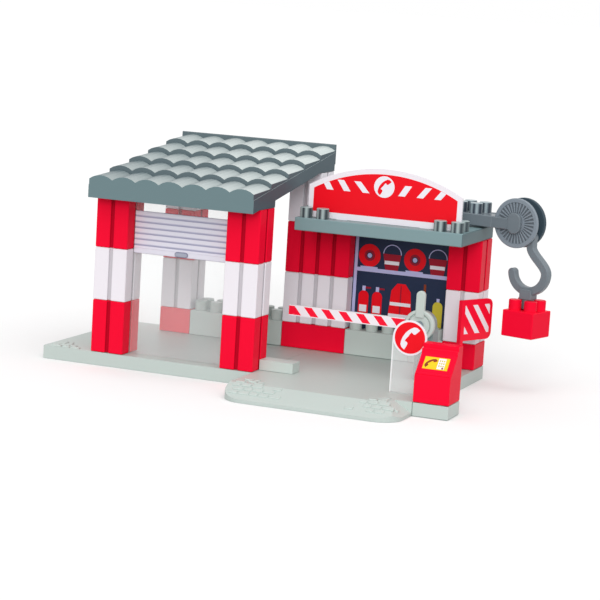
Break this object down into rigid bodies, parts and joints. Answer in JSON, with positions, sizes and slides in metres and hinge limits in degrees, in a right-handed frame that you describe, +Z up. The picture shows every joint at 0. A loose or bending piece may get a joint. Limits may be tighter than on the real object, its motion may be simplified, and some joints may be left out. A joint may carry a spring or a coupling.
{
  "type": "toy fire station building set",
  "caption": "Toy fire station of red, white and grey stud blocks, with tiled garage roof, barrier, crane and call box.",
  "frame": {"origin": "centre of the station base plate's underside, on the ground under the office", "axes": "+X to the crane side, +Y from the open front to the back wall, +Z up"},
  "size_m": [0.4366, 0.2546, 0.2053],
  "materials": {
    "red": "glossy moulded ABS",
    "white": "glossy moulded ABS",
    "pale_grey": "glossy moulded ABS",
    "mid_grey": "satin moulded ABS",
    "clear": "clear polished sheet with opaque print",
    "printed": "printed sheet",
    "striped": "printed red and white board"
  },
  "bodies": {
    "station": {"garage_base": "pale_grey", "station_base": "pale_grey", "door_kerb": "pale_grey", "front_left_pillar_bottom": "red", "front_left_pillar_middle": "white", "front_left_pillar_top": "red", "front_right_pillar_bottom": "red", "front_right_pillar_middle": "white", "front_right_pillar_top": "red", "rear_left_pillar_brick": "red", "rear_left_pillar_lower": "white", "rear_left_pillar_middle": "red", "rear_left_pillar_top": "white", "wall_base_brick": "red", "wall_white_block": "white", "wall_red_block": "red", "roof_support_block": "white", "right_pillar_brick": "red", "right_pillar_white": "white", "right_pillar_red": "red", "back_wall_brick_long": "pale_grey", "back_wall_brick_short": "pale_grey", "sill_brick_long": "pale_grey", "sill_brick_short": "pale_grey", "garage_door_panel": "clear", "garage_roof": "mid_grey", "equipment_panel": "printed", "roof_plate": "mid_grey", "arched_sign": "striped", "round_sign_sheet": "clear", "call_box_plate": "pale_grey", "call_box": "red", "barrier_post": "pale_grey", "barrier_pin": "mid_grey", "crane_foot": "mid_grey"},
    "barrier": {"barrier_arm": "pale_grey", "boom_board": "striped"},
    "flag": {"striped_flag": "striped"},
    "crane": {"crane_arm": "mid_grey", "wheel_axle": "mid_grey"},
    "wheel": {"wheel_front_disc": "mid_grey", "wheel_rear_disc": "mid_grey"},
    "hook": {"crane_hook": "mid_grey", "hanging_brick": "red"}
  },
  "joints": [
    {"name": "barrier_swing", "type": "hinge", "parent": "station", "child": "barrier", "pos_m": [0.0518, 0.01615, 0.062], "axis": [0, 1, 0], "range_deg": [0, 85]},
    {"name": "flag_swing", "type": "hinge", "parent": "station", "child": "flag", "pos_m": [0.0772, 0.055, 0.012], "axis": [0, 0, 1], "range_deg": [0, 105]},
    {"name": "crane_swivel", "type": "hinge", "parent": "station", "child": "crane", "pos_m": [0.064, 0.112, 0.146], "axis": [0, 0, 1], "range_deg": [0, 45]},
    {"name": "crane_wheel_turn", "type": "hinge", "parent": "crane", "child": "wheel", "pos_m": [0.11076, 0.08291, 0.15245], "axis": [-0.2588, -0.9659, 0], "range_deg": [0, 170]},
    {"name": "hook_swing", "type": "hinge", "parent": "wheel", "child": "hook", "pos_m": [0.12743, 0.09035, 0.14056], "axis": [-0.2588, -0.9659, 0], "range_deg": [-5, 60]}
  ]
}
